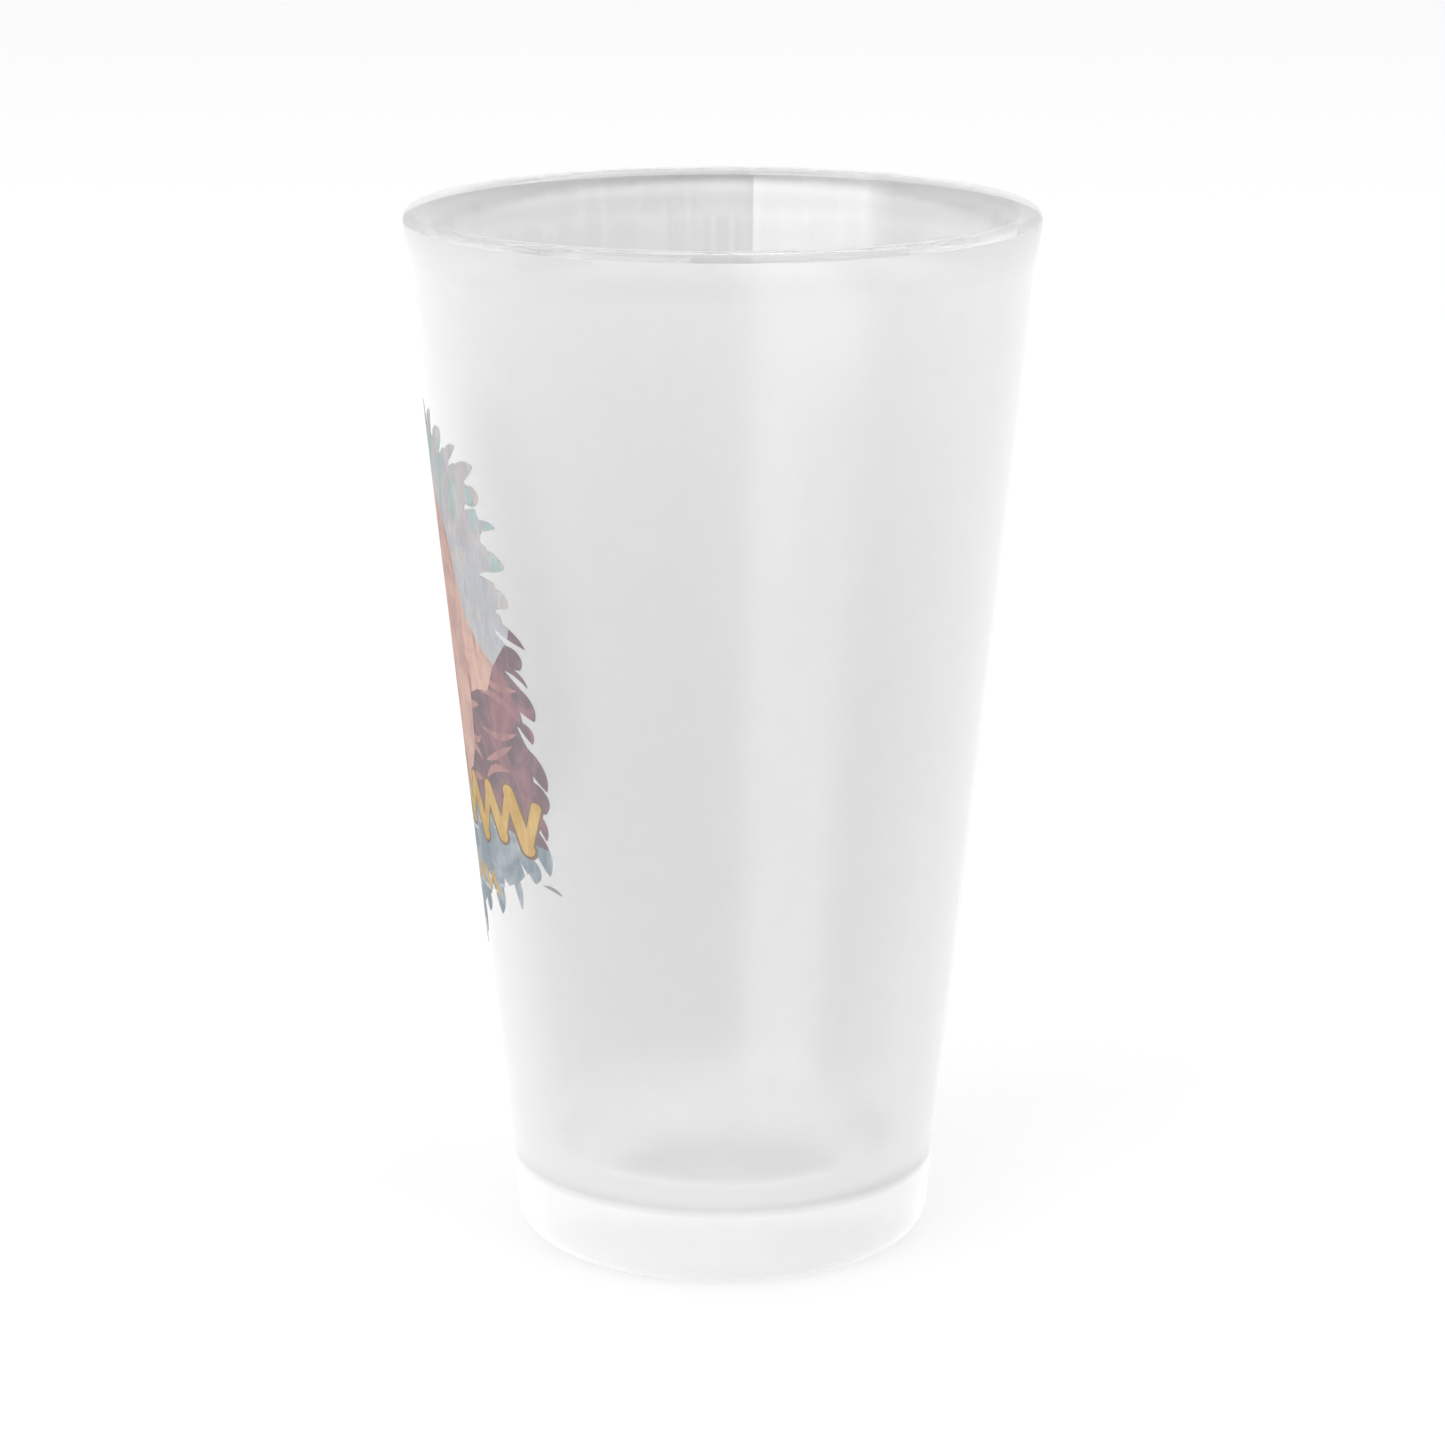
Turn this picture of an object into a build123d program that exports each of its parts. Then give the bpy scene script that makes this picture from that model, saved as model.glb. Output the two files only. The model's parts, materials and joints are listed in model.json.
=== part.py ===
"""Frosted pint glass: a tapered one-piece tumbler, its satin outer coat, and the inks of a landscape print.

Millimetres, +Z up. The origin is the centre of the foot on the table plane, and the print faces -Y.
The print is laid out flat as (u, v): u is the arc along the wall from the print's centre line, and v is
the height above the table.
"""

import os
from math import cos, degrees, pi, radians, sin

from build123d import *

# Outside of the finished glass
HEIGHT = 149.0
RIM_RADIUS = 44.75
FOOT_RADIUS = 29.45  # where the straight wall line would meet the table
HEEL_FILLET = 4.0
RING_INNER_RADIUS = 20.5  # the flat bearing ring runs from here out to the heel
PUNT_DEPTH = 1.8  # rise of the hollow under the foot

# Inside
RIM_WALL = 3.3
LIP_FILLET = 1.3
FLOOR_HEIGHT = 10.0
FLOOR_DISH = 0.6
FLOOR_CORNER_RADIUS = 25.2
FLOOR_FILLET = 8.0

# Coat and inks
COAT_THICKNESS = 0.10
COAT_TOP = HEIGHT - 1.35  # the fire-polished lip above this stays clear
INK_THICKNESS = 0.06
INK_LOWEST = 35.0  # no ink is lower or higher than this pair
INK_HIGHEST = 132.0
CUT_DEPTH = 60.0  # deeper than the glass's radius
SMALLEST_SPOT = 0.25  # square millimetres; anything smaller doesn't print

# Outline of the print
PRINT_CENTRE = 87.2
PRINT_HALF_WIDTH = 28.0
PRINT_HALF_HEIGHT = 31.6
PRINT_SQUARENESS = 4.6  # 2 is an ellipse, more is closer to a rectangle
PRINT_FLARE = 0.11  # how much wider the print is at the bottom, as a share of its width
TIP_DROP = 7.6  # the middle of the lower edge hangs this far below its ends
TIP_SHARPNESS = 18
OUTLINE_POINTS = 72
OFF_PRINT = 45.0  # an arc past the print's edge on either side

# Brush flicks round the edge, with a bite into the edge after each
FLICK_COUNT = 50
FLICK_STAGGER = 0.22  # as a share of the gap between two flicks
FLICK_DROOP = 32.0  # degrees that the flicks hang down from straight outwards, at the sides
FLICK_LENGTH = 6.2
FLICK_WIDTH = 2.4
FLICK_BOW = 0.6
BITE_OUT = 1.1  # how far outside the outline the middle of a bite lies
BITE_LENGTH = 7.0
BITE_WIDTH = 1.9
BITE_BOW = 0.8

# Loose flecks off the lower edge
STRAIGHT_DOWN = -90.0
FLECK_ANGLES = (-47.0, -84.0, -128.0)  # degrees round the print from its right-hand side
FLECK_FAN = 1.75  # the flecks turn away from straight down this much more than the edge they came off
FLECK_GAP = 3.6  # how far outside the outline they sit
FLECK_LENGTH = 3.4
FLECK_WIDTH = 0.5
FLECK_BOW = 0.3

# A brush's unevenness repeats: a mark differs from its neighbours by the sine of its number times a pace
LENGTH_SPREAD = 0.38
WIDTH_SPREAD = 0.35
STAGGER_PACE = 5.3
FLICK_LENGTH_PACE = 3.9
FLICK_WIDTH_PACE = 2.2
BITE_LENGTH_PACE = 2.7
BITE_WIDTH_PACE = 1.9
MARK_LENGTH_PACE = 2.9
MARK_TILT_PACE = 2.5
MARK_BOW_PACE = 1.1

# Brushed zigzag ribbon across the print
RIBBON_START = -28.0
RIBBON_END = 30.0
RIBBON_HEIGHT = 66.5
RIBBON_RISE = 8.0
RIBBON_PITCH = 6.0
RIBBON_WIDTH = 2.2
RIBBON_OUTLINE = 0.45
UPSTROKE_SHARE = 0.65
SWING_LOSS = 0.15  # the most that a turn falls short on either side of its mean
SWING_PACE = 1.9


def wall_radius(height):
    """Radius of the coated wall at a height."""
    return FOOT_RADIUS + (RIM_RADIUS - FOOT_RADIUS) * height / HEIGHT


def on_wall(u, v):
    """Where a point of the flat layout stands when the wall is looked at squarely from the front."""
    radius = wall_radius(v)
    return (radius * sin(u / radius), v)


# ---------------------------------------------------------------- glass and coat

with BuildPart() as frost_coat:
    with BuildSketch(Plane.XZ) as coat_section:
        with BuildLine() as skin:
            punt = TangentArc((0, PUNT_DEPTH), (RING_INNER_RADIUS, 0), tangent=(1, 0))
            ring = Line(punt @ 1, (FOOT_RADIUS, 0))
            Line(ring @ 1, (wall_radius(COAT_TOP), COAT_TOP))
            fillet(skin.vertices().sort_by_distance(ring @ 1)[0], radius=HEEL_FILLET)
            offset(amount=COAT_THICKNESS, side=Side.LEFT)
        make_face()
    revolve(axis=Axis.Z)

with BuildPart() as glass_body:
    with BuildSketch(Plane.XZ):
        with BuildLine() as outline:
            punt = TangentArc((0, PUNT_DEPTH), (RING_INNER_RADIUS, 0), tangent=(1, 0))
            ring = Line(punt @ 1, (FOOT_RADIUS, 0))
            outer_wall = Line(ring @ 1, (RIM_RADIUS, HEIGHT))
            lip = Line(outer_wall @ 1, (RIM_RADIUS - RIM_WALL, HEIGHT))
            inner_wall = Line(lip @ 1, (FLOOR_CORNER_RADIUS, FLOOR_HEIGHT + FLOOR_DISH))
            floor = TangentArc((0, FLOOR_HEIGHT), inner_wall @ 1, tangent=(1, 0))
            Line(floor @ 0, punt @ 0)
            fillet(outline.vertices().sort_by_distance(ring @ 1)[0], radius=HEEL_FILLET)
            fillet(outline.vertices().group_by(Axis.Y)[-1], radius=LIP_FILLET)
            fillet(outline.vertices().sort_by_distance(floor @ 1)[0], radius=FLOOR_FILLET)
        make_face()
        add(coat_section.sketch_local, mode=Mode.SUBTRACT)
    revolve(axis=Axis.Z)


# ---------------------------------------------------------------- the print's shapes, laid out flat


def region(points):
    """The closed shape through (u, v) corners."""
    with BuildSketch() as shape:
        with BuildLine():
            Polyline(*[on_wall(u, v) for u, v in points], close=True)
        make_face()
    return shape.sketch


def edge_point(angle, grow):
    """A point of the print's outline, moved outwards by grow."""
    across = abs(cos(angle)) / (PRINT_HALF_WIDTH + grow)
    upright = abs(sin(angle)) / (PRINT_HALF_HEIGHT + grow)
    reach = (across**PRINT_SQUARENESS + upright**PRINT_SQUARENESS) ** (-1 / PRINT_SQUARENESS)
    u = reach * cos(angle) * (1 - PRINT_FLARE * sin(angle))
    v = PRINT_CENTRE + reach * sin(angle) - TIP_DROP * max(0, -sin(angle)) ** TIP_SHARPNESS
    return (u, v)


def droop(angle):
    """The way, in degrees from level, that the brush left the print's edge at this angle."""
    return degrees(angle) - FLICK_DROOP * cos(angle)


def dab(u, v, length, width, tilt, bend=0.0):
    """A crescent brush mark around (u, v): tilt degrees from level, its back bowed out by bend."""
    along = (length / 2 * cos(radians(tilt)), length / 2 * sin(radians(tilt)))
    across = (-sin(radians(tilt)), cos(radians(tilt)))
    tail = on_wall(u - along[0], v - along[1])
    head = on_wall(u + along[0], v + along[1])
    back = on_wall(u + across[0] * (bend + width / 2), v + across[1] * (bend + width / 2))
    belly = on_wall(u + across[0] * (bend - width / 2), v + across[1] * (bend - width / 2))
    with BuildSketch() as mark:
        with BuildLine():
            ThreePointArc(tail, back, head)
            ThreePointArc(head, belly, tail)
        make_face()
    return mark.sketch


def uneven(i, pace, spread):
    """A factor that differs from mark to mark: 1, give or take up to the spread."""
    return 1 + spread * sin(pace * i)


def brushwork(count, left, right, step, low, high, length, width, tilt, sway, bow, arch=0.0, lean=0.0):
    """Dabs that step across between left and right, over and over, while they climb from low to high.

    Their tilts sway round a mean. An arch drops the outer ones, and a lean turns them outwards.
    """
    with BuildSketch() as marks:
        for i in range(count):
            u = left + step * i % (right - left)
            v = low + (high - low) * i / count - arch * u**2
            mark_length = length * uneven(i, MARK_LENGTH_PACE, LENGTH_SPREAD)
            mark_tilt = tilt + lean * u + sway * sin(MARK_TILT_PACE * i)
            add(dab(u, v, mark_length, width, mark_tilt, bow * sin(MARK_BOW_PACE * i)))
    return marks.sketch


def zigzag(start, end, height, rise, pitch, width):
    """A brushed zigzag with round turns and thinner upstrokes."""
    count = round((end - start) / pitch * 2)
    turns = []
    for i in range(count + 1):
        swing = rise / 2 * (1 if i % 2 else -1) * (uneven(i, SWING_PACE, SWING_LOSS) - SWING_LOSS)
        turns.append(Vector(*on_wall(start + i * pitch / 2, height + swing)))
    with BuildSketch() as stroke:
        for i in range(count):
            weight = width if i % 2 else width * UPSTROKE_SHARE
            SlotCenterPoint((turns[i] + turns[i + 1]) / 2, turns[i + 1], weight)
    return stroke.sketch


# The landscape's edges from left to right: the far cliff's skyline, the near rocks' tops and the far bank
CLIFF = [(-OFF_PRINT, 88), (-22, 96), (-17, 101), (-13, 103), (-11.5, 109), (-4, 111), (5, 110.5)]
CLIFF += [(9.5, 108.5), (13, 104.5), (14.2, 99.5), (16.5, 94.5), (20, 91), (25, 88), (OFF_PRINT, 82)]
LEFT_ROCKS = [(-OFF_PRINT, 92), (-28, 90), (-24, 86), (-21, 87), (-17, 80), (-13, 77.5), (-9, 72), (-4, 60)]
RIGHT_ROCKS = [(4, 60), (11, 71), (13.5, 74.5), (15, 83), (17.5, 84), (21, 84.5), (23.5, 88.5), (28, 93)]
BANK = [(-OFF_PRINT, 66), (-20, 64.5), (-9, 67), (0, 73.5), (9, 68), (20, 65), (OFF_PRINT, 62)]

BELOW_PRINT = [(OFF_PRINT, INK_LOWEST), (-OFF_PRINT, INK_LOWEST)]

land = region(CLIFF + BELOW_PRINT)
left_rocks = region([*LEFT_ROCKS, (-OFF_PRINT, INK_LOWEST)])
right_rocks = region([*RIGHT_ROCKS, (OFF_PRINT, INK_HIGHEST), (OFF_PRINT, INK_LOWEST)])
water = region(BANK + BELOW_PRINT)

# The whole print: an oval whose edge is bitten into and flicked outwards as by a dry brush
with BuildSketch() as patch:
    add(region([edge_point(2 * pi * i / OUTLINE_POINTS, 0) for i in range(OUTLINE_POINTS)]))
    for i in range(FLICK_COUNT):
        angle = 2 * pi * (i + FLICK_STAGGER * sin(STAGGER_PACE * i)) / FLICK_COUNT
        u, v = edge_point(angle + pi / FLICK_COUNT, BITE_OUT)
        length = BITE_LENGTH * uneven(i, BITE_LENGTH_PACE, LENGTH_SPREAD)
        width = BITE_WIDTH * uneven(i, BITE_WIDTH_PACE, WIDTH_SPREAD)
        add(dab(u, v, length, width, droop(angle), BITE_BOW), mode=Mode.SUBTRACT)
        u, v = edge_point(angle, 0)
        length = FLICK_LENGTH * uneven(i, FLICK_LENGTH_PACE, LENGTH_SPREAD)
        width = FLICK_WIDTH * uneven(i, FLICK_WIDTH_PACE, WIDTH_SPREAD)
        add(dab(u, v, length, width, droop(angle), FLICK_BOW))

with BuildSketch() as ribbon:
    add(zigzag(RIBBON_START, RIBBON_END, RIBBON_HEIGHT, RIBBON_RISE, RIBBON_PITCH, RIBBON_WIDTH))
    add(zigzag(start=-15.0, end=16.0, height=55.5, rise=3.0, pitch=3.1, width=0.9))

with BuildSketch() as ribbon_shade:
    shade_width = RIBBON_WIDTH + 2 * RIBBON_OUTLINE
    add(zigzag(RIBBON_START, RIBBON_END, RIBBON_HEIGHT, RIBBON_RISE, RIBBON_PITCH, shade_width))
    add(ribbon.sketch, mode=Mode.SUBTRACT)

with BuildSketch() as teal_strokes:
    add(brushwork(
        count=13, left=-27.0, right=31.5, step=22.5, low=114.0, high=117.5,
        length=9.5, width=2.3, tilt=96.0, sway=26.0, bow=1.0, arch=0.012,
    ))
    add(patch.sketch, mode=Mode.INTERSECT)
    add(land, mode=Mode.SUBTRACT)

with BuildSketch() as pink_strokes:
    add(brushwork(
        count=11, left=-25.0, right=31.1, step=20.4, low=109.5, high=114.5,
        length=11.5, width=3.2, tilt=82.0, sway=16.0, bow=0.8,
    ))
    add(patch.sketch, mode=Mode.INTERSECT)
    add(land, mode=Mode.SUBTRACT)
    add(teal_strokes.sketch, mode=Mode.SUBTRACT)

with BuildSketch() as sky:
    add(patch.sketch)
    add(land, mode=Mode.SUBTRACT)
    add(left_rocks, mode=Mode.SUBTRACT)
    add(right_rocks, mode=Mode.SUBTRACT)
    add(teal_strokes.sketch, mode=Mode.SUBTRACT)
    add(pink_strokes.sketch, mode=Mode.SUBTRACT)

with BuildSketch() as ripples:
    add(brushwork(
        count=14, left=-24.0, right=24.0, step=7.1, low=48.0, high=65.5,
        length=7.0, width=0.7, tilt=0.0, sway=7.0, bow=0.5,
    ))
    add(patch.sketch, mode=Mode.INTERSECT)
    add(water, mode=Mode.INTERSECT)
    add(ribbon.sketch, mode=Mode.SUBTRACT)
    add(ribbon_shade.sketch, mode=Mode.SUBTRACT)

with BuildSketch() as river:
    add(patch.sketch)
    add(water, mode=Mode.INTERSECT)
    add(ribbon.sketch, mode=Mode.SUBTRACT)
    add(ribbon_shade.sketch, mode=Mode.SUBTRACT)
    add(ripples.sketch, mode=Mode.SUBTRACT)

with BuildSketch() as rock_area:
    add(left_rocks)
    add(right_rocks)
    add(patch.sketch, mode=Mode.INTERSECT)
    add(water, mode=Mode.SUBTRACT)
    add(ribbon.sketch, mode=Mode.SUBTRACT)
    add(ribbon_shade.sketch, mode=Mode.SUBTRACT)

with BuildSketch() as ledges:
    add(brushwork(
        count=10, left=-28.0, right=-12.0, step=6.7, low=70.0, high=88.0,
        length=7.0, width=1.1, tilt=-8.0, sway=20.0, bow=1.2,
    ))
    add(brushwork(
        count=10, left=13.0, right=28.0, step=7.9, low=70.5, high=88.0,
        length=7.0, width=1.1, tilt=6.0, sway=20.0, bow=1.3,
    ))
    add(rock_area.sketch, mode=Mode.INTERSECT)

with BuildSketch() as rocks:
    add(rock_area.sketch)
    add(ledges.sketch, mode=Mode.SUBTRACT)

with BuildSketch() as cliff_area:
    add(patch.sketch)
    add(land, mode=Mode.INTERSECT)
    add(left_rocks, mode=Mode.SUBTRACT)
    add(right_rocks, mode=Mode.SUBTRACT)
    add(water, mode=Mode.SUBTRACT)
    add(ribbon.sketch, mode=Mode.SUBTRACT)
    add(ribbon_shade.sketch, mode=Mode.SUBTRACT)

with BuildSketch() as cliff_streaks:
    add(brushwork(
        count=16, left=-19.0, right=19.0, step=8.3, low=77.0, high=110.6,
        length=11.0, width=1.2, tilt=90.0, sway=8.0, bow=0.8, lean=0.9,
    ))
    add(cliff_area.sketch, mode=Mode.INTERSECT)

with BuildSketch() as cliff:
    add(cliff_area.sketch)
    add(cliff_streaks.sketch, mode=Mode.SUBTRACT)

with BuildSketch() as flecks:
    for angle in FLECK_ANGLES:
        u, v = edge_point(radians(angle), FLECK_GAP)
        tilt = STRAIGHT_DOWN + (angle - STRAIGHT_DOWN) * FLECK_FAN
        add(dab(u, v, FLECK_LENGTH, FLECK_WIDTH, tilt, FLECK_BOW))
    add(patch.sketch, mode=Mode.SUBTRACT)


# ---------------------------------------------------------------- inks on the wall

with BuildPart() as ink_band:
    with BuildSketch(Plane.XZ):
        with BuildLine():
            inner = Line((wall_radius(INK_LOWEST), INK_LOWEST), (wall_radius(INK_HIGHEST), INK_HIGHEST))
            outer = Line(
                (wall_radius(INK_HIGHEST) + INK_THICKNESS, INK_HIGHEST),
                (wall_radius(INK_LOWEST) + INK_THICKNESS, INK_LOWEST),
            )
            Line(inner @ 1, outer @ 0)
            Line(outer @ 1, inner @ 0)
        make_face()
    revolve(axis=Axis.Z)


def film(layout):
    """A shape of the flat layout as a film of ink on the front of the wall."""
    with BuildPart() as layer:
        with BuildSketch(Plane.XZ):
            add(layout.faces().filter_by(lambda spot: spot.area > SMALLEST_SPOT))
        extrude(amount=CUT_DEPTH)
        add(ink_band.part, mode=Mode.INTERSECT)
    return layer.part


with BuildPart() as print_sky:
    add(film(sky.sketch))

with BuildPart() as print_teal_strokes:
    add(film(teal_strokes.sketch))

with BuildPart() as print_pink_strokes:
    add(film(pink_strokes.sketch))

with BuildPart() as print_cliff:
    add(film(cliff.sketch))

with BuildPart() as print_cliff_streaks:
    add(film(cliff_streaks.sketch))

with BuildPart() as print_rocks:
    add(film(rocks.sketch))

with BuildPart() as print_rock_ledges:
    add(film(ledges.sketch))

with BuildPart() as print_river:
    add(film(river.sketch))

with BuildPart() as print_ripples:
    add(film(ripples.sketch))

with BuildPart() as print_ribbon:
    add(film(ribbon.sketch))

with BuildPart() as print_ribbon_shade:
    add(film(ribbon_shade.sketch))

with BuildPart() as print_flecks:
    add(film(flecks.sketch))


# ---------------------------------------------------------------- export

os.makedirs("parts", exist_ok=True)
pieces = {
    "glass_body": glass_body,
    "frost_coat": frost_coat,
    "print_sky": print_sky,
    "print_teal_strokes": print_teal_strokes,
    "print_pink_strokes": print_pink_strokes,
    "print_cliff": print_cliff,
    "print_cliff_streaks": print_cliff_streaks,
    "print_rocks": print_rocks,
    "print_rock_ledges": print_rock_ledges,
    "print_river": print_river,
    "print_ripples": print_ripples,
    "print_ribbon": print_ribbon,
    "print_ribbon_shade": print_ribbon_shade,
    "print_flecks": print_flecks,
}
for label, piece in pieces.items():
    piece.part.label = label
    export_step(piece.part, f"parts/{label}.step")
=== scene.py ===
"""Looks for the frosted pint glass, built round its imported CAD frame. Metres, +Z up, the print faces -Y."""

import json
from math import atan2, cos, pi, radians, sin, tan

import bmesh
import bpy
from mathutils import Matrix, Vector


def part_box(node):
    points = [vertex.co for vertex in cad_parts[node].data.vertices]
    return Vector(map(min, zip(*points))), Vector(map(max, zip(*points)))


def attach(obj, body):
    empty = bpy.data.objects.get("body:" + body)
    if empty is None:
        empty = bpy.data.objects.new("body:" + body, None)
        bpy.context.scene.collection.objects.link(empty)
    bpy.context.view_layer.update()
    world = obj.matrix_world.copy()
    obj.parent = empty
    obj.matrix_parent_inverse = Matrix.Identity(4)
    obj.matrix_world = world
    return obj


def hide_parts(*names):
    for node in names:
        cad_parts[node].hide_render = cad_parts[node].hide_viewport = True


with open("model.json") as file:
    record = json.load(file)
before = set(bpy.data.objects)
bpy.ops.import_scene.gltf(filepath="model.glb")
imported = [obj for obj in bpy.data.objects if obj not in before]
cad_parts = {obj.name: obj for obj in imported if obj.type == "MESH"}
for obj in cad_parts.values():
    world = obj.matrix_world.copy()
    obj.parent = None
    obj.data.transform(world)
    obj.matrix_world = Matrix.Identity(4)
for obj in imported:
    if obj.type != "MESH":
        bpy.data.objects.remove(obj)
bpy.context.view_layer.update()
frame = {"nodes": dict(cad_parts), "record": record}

MM = 0.001

# ------------------------------------------------------------------ sizes, from the CAD's own dimensions

glass_low, glass_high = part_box("glass_body")
HEIGHT = glass_high[2] / MM
RIM_RADIUS = glass_high[0] / MM
FOOT_RADIUS = 29.45
HEEL_FILLET = 4.0
RING_INNER_RADIUS = 20.5
PUNT_DEPTH = 1.8
RIM_WALL = 3.3
LIP_FILLET = 1.3
FLOOR_HEIGHT = 10.0
FLOOR_DISH = 0.6
FLOOR_CORNER_RADIUS = 25.2
FLOOR_FILLET = 8.0
COAT_THICKNESS = 0.10
COAT_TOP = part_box("frost_coat")[1][2] / MM
SEGMENTS = 288
ARC_STEPS = 10
HEEL_STEPS = 12
DOME_STEPS = 8
LONGEST_STEP = 6.0  # along a profile
ON_AXIS = 1e-6


def wall_radius(height):
    """Radius of the coated wall at a height."""
    return FOOT_RADIUS + (RIM_RADIUS - FOOT_RADIUS) * height / HEIGHT


# ------------------------------------------------------------------ profiles and revolved meshes


def rounded(corners, arc_steps=ARC_STEPS):
    """A line through (r, z, fillet radius) corners, each corner turned on an arc of its radius."""
    points = []
    for i, (r, z, radius) in enumerate(corners):
        here = Vector((r, z))
        if not radius:
            points.append(here)
            continue
        before = (Vector(corners[i - 1][:2]) - here).normalized()
        after = (Vector(corners[i + 1][:2]) - here).normalized()
        half_angle = before.angle(after) / 2
        middle = here + (before + after).normalized() * radius / sin(half_angle)
        start = here + before * radius / tan(half_angle) - middle
        sweep = start.angle_signed(here + after * radius / tan(half_angle) - middle)
        for k in range(arc_steps + 1):
            turn = -sweep * k / arc_steps
            points.append(middle + Vector((
                start.x * cos(turn) - start.y * sin(turn),
                start.x * sin(turn) + start.y * cos(turn),
            )))
    return points


def divided(points, longest):
    """The same line with no stretch longer than this."""
    result = [points[0]]
    for a, b in zip(points, points[1:]):
        steps = max(1, round((b - a).length / longest))
        result += [a.lerp(b, (k + 1) / steps) for k in range(steps)]
    return result


def dome(rise, radius, top):
    """A shallow bow from the axis out to radius: top on the axis, and top + rise at the radius."""
    shares = [k / DOME_STEPS for k in range(DOME_STEPS)]
    return [Vector((radius * share, top + rise * share**2)) for share in shares]


def skin(inset):
    """The outside of the glass from the axis under the punt up to the coat's top, moved inwards by inset."""
    lean = atan2(RIM_RADIUS - FOOT_RADIUS, HEIGHT)
    foot = FOOT_RADIUS - inset / cos(lean) + inset * tan(lean)
    top = wall_radius(COAT_TOP) - inset / cos(lean)
    corners = [(RING_INNER_RADIUS, inset, 0), (foot, inset, HEEL_FILLET - inset), (top, COAT_TOP, 0)]
    return dome(-PUNT_DEPTH, RING_INNER_RADIUS, PUNT_DEPTH + inset) + rounded(corners, HEEL_STEPS)


def revolved(name, profile, materials, bonded_rings):
    """A closed mesh turned about Z from a profile in mm; its bonded_rings take the second material."""
    mesh = bmesh.new()
    rings = []
    for point in profile:
        if point.x < ON_AXIS:
            rings.append([mesh.verts.new((0, 0, point.y * MM))] * SEGMENTS)
            continue
        ring = []
        for k in range(SEGMENTS):
            turn = 2 * pi * k / SEGMENTS
            ring.append(mesh.verts.new((point.x * MM * cos(turn), point.x * MM * sin(turn), point.y * MM)))
        rings.append(ring)
    for j, (low, high) in enumerate(zip(rings, rings[1:])):
        for k in range(SEGMENTS):
            after = (k + 1) % SEGMENTS
            corners = [low[k], low[after], high[after], high[k]]
            face = mesh.faces.new(list(dict.fromkeys(corners)))
            face.smooth = True
            face.material_index = 1 if j in bonded_rings else 0
    bmesh.ops.recalc_face_normals(mesh, faces=mesh.faces)
    data = bpy.data.meshes.new(name)
    mesh.to_mesh(data)
    mesh.free()
    piece = bpy.data.objects.new(name, data)
    bpy.context.collection.objects.link(piece)
    for material in materials:
        data.materials.append(material)
    return piece


# ------------------------------------------------------------------ material helpers


class Shader:
    """Fills an emptied node tree: each call adds one node, sets its values and links its inputs."""

    def __init__(self, tree):
        self.tree = tree
        tree.nodes.clear()

    def __call__(self, kind, inputs=None, **settings):
        node = self.tree.nodes.new("ShaderNode" + kind)
        for key, value in settings.items():
            setattr(node, key, value)
        for key, value in (inputs or {}).items():
            if isinstance(value, bpy.types.NodeSocket):
                self.tree.links.new(value, node.inputs[key])
            else:
                node.inputs[key].default_value = value
        return node


def new_material(name):
    """An empty node material, and the Shader that fills it."""
    material = bpy.data.materials.new(name)
    material.use_nodes = True
    return material, Shader(material.node_tree)


def pale(level):
    """A neutral colour."""
    return (level, level, level, 1)


def mirrored_ray(s, path):
    """1 on true mirror reflections; a ray that went through rough glass counts as glossy too."""
    return s("Math", {0: path.outputs["Is Glossy Ray"], 1: path.outputs["Is Transmission Ray"]},
             operation="SUBTRACT", use_clamp=True).outputs[0]


def passing(s):
    """1 on the rays that light the floor and on mirror reflections, which go straight through the glass."""
    path = s("LightPath")
    shadow_or_diffuse = s("Math", {0: path.outputs["Is Shadow Ray"], 1: path.outputs["Is Diffuse Ray"]},
                          operation="MAXIMUM")
    return s("Math", {0: shadow_or_diffuse.outputs[0], 1: mirrored_ray(s, path)},
             operation="MAXIMUM").outputs[0]


GLASS_IOR = 1.50
GLASS_TINT = 0.985
GLASS_PASSES = 0.97  # share of the light kept by rays that go straight through
RIPPLE_SCALE = 60.0
RIPPLE_STRENGTH = 0.0015
RIPPLE_HEIGHT = 0.001
LIP_FROM = COAT_TOP - 0.8
LIP_STRAIGHT = 0.55  # share of the light that the lip doesn't bend


def clear_glass():
    """Fire-polished glass with faint drawn ripples; its thin lip bends only part of what is behind it."""
    material, s = new_material("clear_glass")
    where = s("NewGeometry").outputs["Position"]
    ripple = s("TexNoise", {"Vector": where, "Scale": RIPPLE_SCALE, "Detail": 1.0})
    bump = s("Bump", {"Height": ripple.outputs["Fac"], "Strength": RIPPLE_STRENGTH,
                      "Distance": RIPPLE_HEIGHT})
    glass = s("BsdfGlass", {"Color": pale(GLASS_TINT), "Roughness": 0.0, "IOR": GLASS_IOR,
                            "Normal": bump.outputs["Normal"]})
    straight = s("BsdfTransparent", {"Color": pale(GLASS_PASSES)})
    height = s("SeparateXYZ", {0: where}).outputs["Z"]
    lip = s("MapRange", {"Value": height, "From Min": LIP_FROM * MM, "From Max": COAT_TOP * MM,
                         "To Max": LIP_STRAIGHT})
    unbent = s("Math", {0: passing(s), 1: lip.outputs["Result"]}, operation="MAXIMUM")
    mix = s("MixShader", {0: unbent.outputs[0], 1: glass.outputs[0], 2: straight.outputs[0]})
    s("OutputMaterial", {"Surface": mix.outputs[0]})
    return material


def bonded():
    """Where coat and glass touch there is no surface to see."""
    material, s = new_material("bonded_interface")
    s("OutputMaterial", {"Surface": s("BsdfTransparent", {"Color": pale(1.0)}).outputs[0]})
    return material


# Share of the light that the frost scatters: on the wall; more over the solid base, where the extra scatter
# is painted light that brightens the base band; and more edge-on, where the extra scatter is a painted sheen
# that lightens the edges
SCATTER_WALL = 0.35
BASE_PAINTED_LIGHT_SCATTER = 0.65
EDGE_PAINTED_SHEEN_SCATTER = 0.60
EDGE_PAINTED_SHEEN_POWER = 3.0
PAINTED_BASE_LIGHT_FROM = 12.2 * MM
PAINTED_BASE_LIGHT_FULLY = 10.8 * MM

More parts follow.
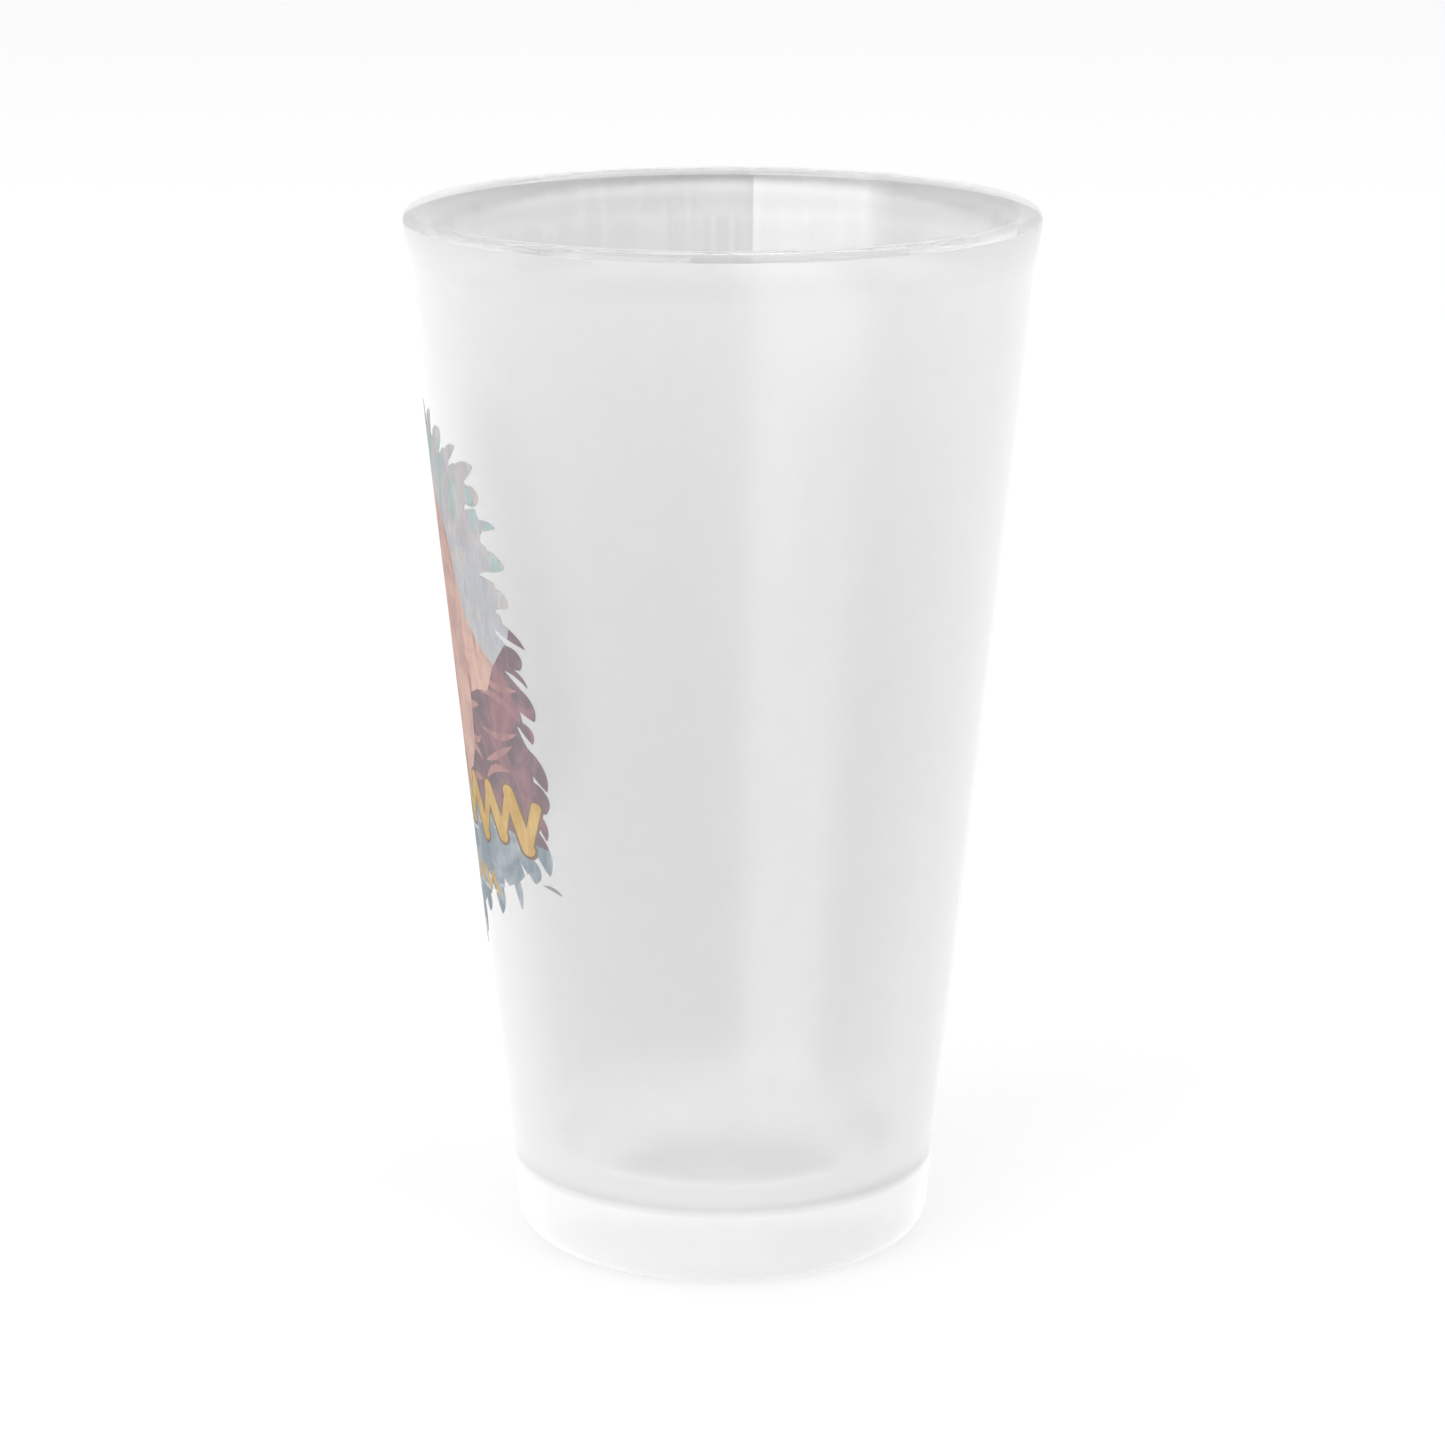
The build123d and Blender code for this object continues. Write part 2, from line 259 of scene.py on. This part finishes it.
FROST_TINT = 0.97
FROST_ROUGHNESS = 0.24
FROST_PASSES = 0.90
FROST_TRANSLUCENT = 0.3
FROST_GREYEST = 0.93
FROST_WHITEST = 0.97
GRAIN_SCALE = 9000.0
GRAIN_STRENGTH = 0.15
GRAIN_HEIGHT = 0.0001
CLOUD_SCALE = 260.0


def satin_coat():
    """The frost: a fine-grained, near-white surface that scatters light on its way through; its extra scatter
    over the solid base and edge-on is painted light that brightens the base band and the edges.
    """
    material, s = new_material("satin_coat")
    where = s("NewGeometry")
    grain = s("TexNoise", {"Vector": where.outputs["Position"], "Scale": GRAIN_SCALE, "Detail": 2.0})
    bump = s("Bump", {"Height": grain.outputs["Fac"], "Strength": GRAIN_STRENGTH, "Distance": GRAIN_HEIGHT})
    optics = {"Color": pale(FROST_TINT), "Roughness": FROST_ROUGHNESS, "IOR": GLASS_IOR,
              "Normal": bump.outputs["Normal"]}
    entering = s("BsdfRefraction", optics)
    leaving = s("BsdfGlass", optics)
    frost = s("MixShader", {0: where.outputs["Backfacing"], 1: entering.outputs[0], 2: leaving.outputs[0]})

    cloud = s("TexNoise", {"Vector": where.outputs["Position"], "Scale": CLOUD_SCALE, "Detail": 4.0})
    whiteness = s("MapRange", {"Value": cloud.outputs["Fac"], "To Min": FROST_GREYEST,
                               "To Max": FROST_WHITEST})
    white = s("BsdfDiffuse", {"Color": whiteness.outputs["Result"]})
    through = s("BsdfTranslucent", {"Color": whiteness.outputs["Result"]})
    scatter = s("MixShader", {0: FROST_TRANSLUCENT, 1: white.outputs[0], 2: through.outputs[0]})

    height = s("SeparateXYZ", {0: where.outputs["Position"]}).outputs["Z"]
    # painted light: the frost scatters more over the solid base so that the base band reads brighter
    frost_scatter_and_base_painted_light = s("MapRange", {"Value": height, "From Min": PAINTED_BASE_LIGHT_FROM, "From Max": PAINTED_BASE_LIGHT_FULLY,
                               "To Min": SCATTER_WALL, "To Max": BASE_PAINTED_LIGHT_SCATTER})
    # painted sheen: the frost scatters more where it is seen edge-on so that the edges read lighter
    facing = s("LayerWeight", {"Blend": 0.5}).outputs["Facing"]
    painted_edge_sheen = s("Math", {0: facing, 1: EDGE_PAINTED_SHEEN_POWER}, operation="POWER")
    share = s("Math", {0: painted_edge_sheen.outputs[0], 1: EDGE_PAINTED_SHEEN_SCATTER, 2: frost_scatter_and_base_painted_light.outputs["Result"]},
              operation="MULTIPLY_ADD", use_clamp=True)
    body = s("MixShader", {0: share.outputs[0], 1: frost.outputs[0], 2: scatter.outputs[0]})
    straight = s("BsdfTransparent", {"Color": pale(FROST_PASSES)})
    mix = s("MixShader", {0: passing(s), 1: body.outputs[0], 2: straight.outputs[0]})
    s("OutputMaterial", {"Surface": mix.outputs[0]})
    return material


INK_SEEN_FROM_INSIDE = 0.12
INK_SHEEN = 0.04
INK_SHEEN_ROUGHNESS = 0.45
INK_TRANSLUCENT = 0.4
INK_RELIEF = 0.25
INK_RELIEF_HEIGHT = 0.00003
BLOTCH_SCALE = 130.0
STREAK_SCALE = 700.0
STREAK_STRETCH = 0.3
STREAK_SLANT = radians(30)
STREAK_DEPTH = 0.08  # how much a streak lightens or darkens the ink
SPECKLE_SCALE = 7000.0
SPECKLE_DEPTH = 0.03


def ink(name, colour, accent):
    """A thin milky ink: two blended colours, streaked by the brush and speckled by the frost under it."""
    material, s = new_material(name)
    where = s("NewGeometry").outputs["Position"]
    blotches = s("TexNoise", {"Vector": where, "Scale": BLOTCH_SCALE, "Detail": 4.0, "Distortion": 1.5})
    share = s("MapRange", {"Value": blotches.outputs["Fac"], "From Min": 0.42, "From Max": 0.62})
    blend = s("MixRGB", {0: share.outputs["Result"], 1: (*colour, 1), 2: (*accent, 1)})
    brushed = s("Mapping", {"Vector": where, "Scale": (1, 1, STREAK_STRETCH),
                            "Rotation": (0, STREAK_SLANT, 0)})
    streaks = s("TexNoise", {"Vector": brushed.outputs[0], "Scale": STREAK_SCALE, "Detail": 3.0,
                             "Distortion": 0.8})
    speckle = s("TexNoise", {"Vector": where, "Scale": SPECKLE_SCALE, "Detail": 1.0})
    stroke = s("MapRange", {"Value": streaks.outputs["Fac"], "From Min": 0.35, "From Max": 0.65,
                            "To Min": 1 - STREAK_DEPTH, "To Max": 1 + STREAK_DEPTH})
    fine = s("MapRange", {"Value": speckle.outputs["Fac"], "From Min": 0.3, "From Max": 0.7,
                          "To Min": 1 - SPECKLE_DEPTH, "To Max": 1 + SPECKLE_DEPTH})
    level = s("Math", {0: stroke.outputs["Result"], 1: fine.outputs["Result"]}, operation="MULTIPLY")
    toned = s("HueSaturation", {"Color": blend.outputs[0], "Value": level.outputs[0]})

    bump = s("Bump", {"Height": streaks.outputs["Fac"], "Strength": INK_RELIEF,
                      "Distance": INK_RELIEF_HEIGHT})
    face = s("BsdfDiffuse", {"Color": toned.outputs[0], "Normal": bump.outputs[0]})
    back = s("BsdfTranslucent", {"Color": toned.outputs[0]})
    layer = s("MixShader", {0: INK_TRANSLUCENT, 1: face.outputs[0], 2: back.outputs[0]})
    sheen = s("BsdfGlossy", {"Color": pale(1.0), "Roughness": INK_SHEEN_ROUGHNESS,
                             "Normal": bump.outputs[0]})
    satin = s("MixShader", {0: INK_SHEEN, 1: layer.outputs[0], 2: sheen.outputs[0]})
    path = s("LightPath")
    from_inside = s("Math", {0: path.outputs["Is Transmission Ray"], 1: 1 - INK_SEEN_FROM_INSIDE},
                    operation="MULTIPLY")
    faded = s("Math", {0: mirrored_ray(s, path), 1: from_inside.outputs[0]}, operation="MAXIMUM")
    straight = s("BsdfTransparent", {"Color": pale(1.0)})
    mix = s("MixShader", {0: faded.outputs[0], 1: satin.outputs[0], 2: straight.outputs[0]})
    s("OutputMaterial", {"Surface": mix.outputs[0]})
    return material


# ------------------------------------------------------------------ the glass and its coat

clear = clear_glass()
inner_face = bonded()
frost = satin_coat()

bonded_line = skin(COAT_THICKNESS)
lip_line = rounded([
    (wall_radius(COAT_TOP), COAT_TOP, 0),
    (RIM_RADIUS, HEIGHT, LIP_FILLET),
    (RIM_RADIUS - RIM_WALL, HEIGHT, LIP_FILLET),
    (FLOOR_CORNER_RADIUS, FLOOR_HEIGHT + FLOOR_DISH, FLOOR_FILLET),
    (0, FLOOR_HEIGHT, 0),
])[1:]
glass_line = divided(bonded_line + lip_line, LONGEST_STEP)
bonded_count = len(divided(bonded_line, LONGEST_STEP)) - 1
glass = revolved("glass_body_visual", glass_line, [clear, inner_face], range(bonded_count))
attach(glass, "root")
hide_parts("glass_body")

coat_outside = divided(skin(0), LONGEST_STEP)
coat_inside = divided(bonded_line, LONGEST_STEP)[::-1]
coat_line = coat_outside + coat_inside
coat = revolved("frost_coat_visual", coat_line, [frost, inner_face], range(len(coat_outside), len(coat_line)))
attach(coat, "root")
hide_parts("frost_coat")

# ------------------------------------------------------------------ inks

INK_COLOURS = {
    "ink_sky": ((0.50, 0.51, 0.54), (0.58, 0.55, 0.54)),
    "ink_teal": ((0.40, 0.53, 0.52), (0.48, 0.55, 0.55)),
    "ink_pink": ((0.58, 0.51, 0.52), (0.52, 0.51, 0.52)),
    "ink_peach": ((0.68, 0.47, 0.40), (0.55, 0.38, 0.36)),
    "ink_clay": ((0.50, 0.31, 0.28), (0.60, 0.42, 0.32)),
    "ink_maroon": ((0.24, 0.19, 0.21), (0.37, 0.23, 0.25)),
    "ink_salmon": ((0.50, 0.31, 0.30), (0.40, 0.25, 0.25)),
    "ink_blue": ((0.29, 0.34, 0.38), (0.44, 0.48, 0.51)),
    "ink_pale_blue": ((0.50, 0.56, 0.60), (0.58, 0.62, 0.64)),
    "ink_amber": ((0.60, 0.40, 0.16), (0.66, 0.46, 0.22)),
    "ink_umber": ((0.26, 0.20, 0.16), (0.32, 0.24, 0.18)),
    "ink_slate": ((0.34, 0.33, 0.34), (0.40, 0.37, 0.38)),
}
slots = {p["node"]: p["material_slot"] for p in frame["record"]["subparts"]}
for node, piece in frame["nodes"].items():
    if not node.startswith("print_"):
        continue
    material = ink(slots[node], *INK_COLOURS[slots[node]])
    for slot in piece.material_slots:
        slot.material = material

# ------------------------------------------------------------------ studio

CAMERA_DISTANCE = 0.6292
CAMERA_HEIGHT = 0.2358
CAMERA_PITCH = radians(14.345)
CAMERA_FOV = radians(18.10)
CAMERA_NEAREST = 0.01

camera_data = bpy.data.cameras.new("camera")
camera_data.angle = CAMERA_FOV
camera_data.clip_start = CAMERA_NEAREST
camera = bpy.data.objects.new("camera", camera_data)
camera.location = (CAMERA_DISTANCE, 0, CAMERA_HEIGHT)
camera.rotation_euler = (pi / 2 - CAMERA_PITCH, 0, pi / 2)
bpy.context.collection.objects.link(camera)
bpy.context.scene.camera = camera


FLOOR_HALF_SIZE = 4.0
FLOOR_SEGMENTS = 8
FLOOR_WHITENESS = 0.865


def floor():
    """A pale matt floor that disappears for rays that have met the glass."""
    mesh = bmesh.new()
    bmesh.ops.create_grid(mesh, x_segments=FLOOR_SEGMENTS, y_segments=FLOOR_SEGMENTS, size=FLOOR_HALF_SIZE)
    data = bpy.data.meshes.new("studio_floor")
    mesh.to_mesh(data)
    mesh.free()
    piece = bpy.data.objects.new("studio_floor", data)
    bpy.context.collection.objects.link(piece)
    material, s = new_material("studio_floor")
    paint = s("BsdfDiffuse", {"Color": pale(FLOOR_WHITENESS)})
    path = s("LightPath")
    through_glass = s("Math", {0: path.outputs["Is Transmission Ray"], 1: path.outputs["Is Glossy Ray"]},
                      operation="MAXIMUM")
    gone = s("BsdfTransparent", {"Color": pale(1.0)})
    mix = s("MixShader", {0: through_glass.outputs[0], 1: paint.outputs[0], 2: gone.outputs[0]})
    s("OutputMaterial", {"Surface": mix.outputs[0]})
    data.materials.append(material)


floor()

# Light levels round the glass, as (degrees round from the camera, level); minus turns towards the print
PASSED_ON = [(-180, 0.68), (-150, 0.64), (-110, 0.84), (-60, 0.6), (50, 0.85), (110, 1.1), (160, 0.95)]
PASSED_ON += [(180, 0.68)]
MIRRORED = [(-180, 0.9), (-100, 1.2), (-60, 0.4), (20, 0.5), (90, 1.2), (140, 1.3), (180, 0.9)]
IN_THE_WALL = 0.75
BRIGHTEST = 4.0
CEILING = 1.0
GROUND = 1.3
CEILING_FROM = 0.0  # heights are sines of the angle looked up, or down where they are minus
CEILING_FULLY = 0.6
GROUND_FROM = -0.35
GROUND_FULLY = -0.8
ROOM_FILL = 1.0
SOFTBOX_GLOW = 4.2
SOFTBOX_LIGHT = 2.25
SOFTBOX_FROM = -73.0
SOFTBOX_TO = -12.0
SOFTBOX_SOFT = 14.0  # degrees that its edge towards the print fades over
SOFTBOX_CRISP = 1.0  # and its edge towards the camera
SOFTBOX_HIGHEST = 0.75
SOFTBOX_TOP_FADE = 0.02


def grey(level):
    """A level of light as a colour on a scale that reaches BRIGHTEST."""
    return pale(level / BRIGHTEST)


def directions(s):
    """The sine of the height looked at, and the turn from the camera as a share of a full circle."""
    towards = s("SeparateXYZ", {0: s("TexCoord").outputs["Generated"]})
    turn = s("Math", {0: towards.outputs["Y"], 1: towards.outputs["X"]}, operation="ARCTAN2")
    around = s("MapRange", {"Value": turn.outputs[0], "From Min": -pi, "From Max": pi})
    return towards.outputs["Z"], around.outputs["Result"]


def as_turn(degrees):
    """Degrees round from the camera as a share of a full circle that starts behind the glass."""
    return degrees / 360 + 0.5


def room(s, height, around, levels):
    """A ring of light levels with a lit ceiling over it and the lit ground under it."""
    ramp = s("ValToRGB", {"Fac": around})
    stops = ramp.color_ramp.elements
    stops[0].position = 0.0
    stops[0].color = grey(levels[0][1])
    stops[1].position = 1.0
    stops[1].color = grey(levels[-1][1])
    for degrees, level in levels[1:-1]:
        stops.new(as_turn(degrees)).color = grey(level)
    up = s("MapRange", {"Value": height, "From Min": CEILING_FROM, "From Max": CEILING_FULLY})
    lifted = s("MixRGB", {0: up.outputs["Result"], 1: ramp.outputs["Color"], 2: grey(CEILING)})
    down = s("MapRange", {"Value": height, "From Min": GROUND_FROM, "From Max": GROUND_FULLY})
    grounded = s("MixRGB", {0: down.outputs["Result"], 1: lifted.outputs[0], 2: grey(GROUND)})
    return s("Background", {"Color": grounded.outputs[0], "Strength": BRIGHTEST}).outputs[0]


def between(s, value, lowest, highest, soft_low, soft_high):
    """1 where a value lies between two others, fading out over a soft stretch inside each end."""
    above = s("MapRange", {"Value": value, "From Min": lowest, "From Max": lowest + soft_low})
    below = s("MapRange", {"Value": value, "From Min": highest, "From Max": highest - soft_high})
    return s("Math", {0: above.outputs["Result"], 1: below.outputs["Result"]},
             operation="MULTIPLY").outputs[0]


def studio_world():
    """White to the camera; to the glass, a pale room with a tall softbox between camera and print."""
    world = bpy.data.worlds.new("studio")
    world.use_nodes = True
    bpy.context.scene.world = world
    s = Shader(world.node_tree)
    height, around = directions(s)
    passed_on = room(s, height, around, PASSED_ON)
    mirrored = room(s, height, around, MIRRORED)

    across = between(s, around, as_turn(SOFTBOX_FROM), as_turn(SOFTBOX_TO),
                     SOFTBOX_SOFT / 360, SOFTBOX_CRISP / 360)
    tall = between(s, height, -SOFTBOX_HIGHEST, SOFTBOX_HIGHEST, SOFTBOX_TOP_FADE, SOFTBOX_TOP_FADE)
    in_box = s("Math", {0: across, 1: tall}, operation="MULTIPLY")
    strength = s("Math", {0: in_box.outputs[0], 1: SOFTBOX_GLOW}, operation="MULTIPLY")
    box_light = s("Background", {"Color": pale(1.0), "Strength": strength.outputs[0]})
    all_mirrored = s("AddShader", {0: mirrored, 1: box_light.outputs[0]})

    path = s("LightPath")
    in_wall = s("Background", {"Color": pale(1.0), "Strength": IN_THE_WALL})
    once_in = s("Math", {0: path.outputs["Transmission Depth"], 1: 1.0, 2: 0.5}, operation="COMPARE")
    mirrored_light = s("MixShader", {0: once_in.outputs[0], 1: all_mirrored.outputs[0],
                                     2: in_wall.outputs[0]})
    seen = s("Background", {"Color": pale(1.0)})
    missed_the_coat = s("Math", {0: path.outputs["Transparent Depth"], 1: 0.5}, operation="LESS_THAN")
    through = s("MixShader", {0: missed_the_coat.outputs[0], 1: passed_on, 2: seen.outputs[0]})
    by_glass = s("MixShader", {0: mirrored_ray(s, path), 1: through.outputs[0],
                               2: mirrored_light.outputs[0]})
    fill = s("Background", {"Color": pale(1.0), "Strength": ROOM_FILL})
    indirect = s("MixShader", {0: path.outputs["Is Diffuse Ray"], 1: by_glass.outputs[0],
                               2: fill.outputs[0]})
    choose = s("MixShader", {0: path.outputs["Is Camera Ray"], 1: indirect.outputs[0],
                             2: seen.outputs[0]})
    s("OutputWorld", {"Surface": choose.outputs[0]})


studio_world()

LIGHT_DISTANCE = 3.0
LIGHT_HEIGHT = 1.5
LIGHT_SIZE = 3.0
FILL_TURN = 60.0
FILL_LIGHT = 1.3


def soft_light(name, turn, level):
    """A square area light aimed at the glass; only what scatters its light shows it."""
    data = bpy.data.lights.new(name, "AREA")
    data.shape = "SQUARE"
    data.size = LIGHT_SIZE
    data.energy = level * pi * LIGHT_SIZE**2
    light = bpy.data.objects.new(name, data)
    light.location = (LIGHT_DISTANCE * cos(turn), LIGHT_DISTANCE * sin(turn), LIGHT_HEIGHT)
    towards_glass = Vector((0, 0, LIGHT_HEIGHT)) - light.location
    light.rotation_euler = towards_glass.to_track_quat("-Z", "Y").to_euler()
    light.visible_camera = False
    light.visible_glossy = False
    light.visible_transmission = False
    bpy.context.collection.objects.link(light)


soft_light("softbox", radians((SOFTBOX_FROM + SOFTBOX_TO) / 2), SOFTBOX_LIGHT)
soft_light("fill", radians(FILL_TURN), FILL_LIGHT)

bpy.context.scene.view_settings.view_transform = "Standard"
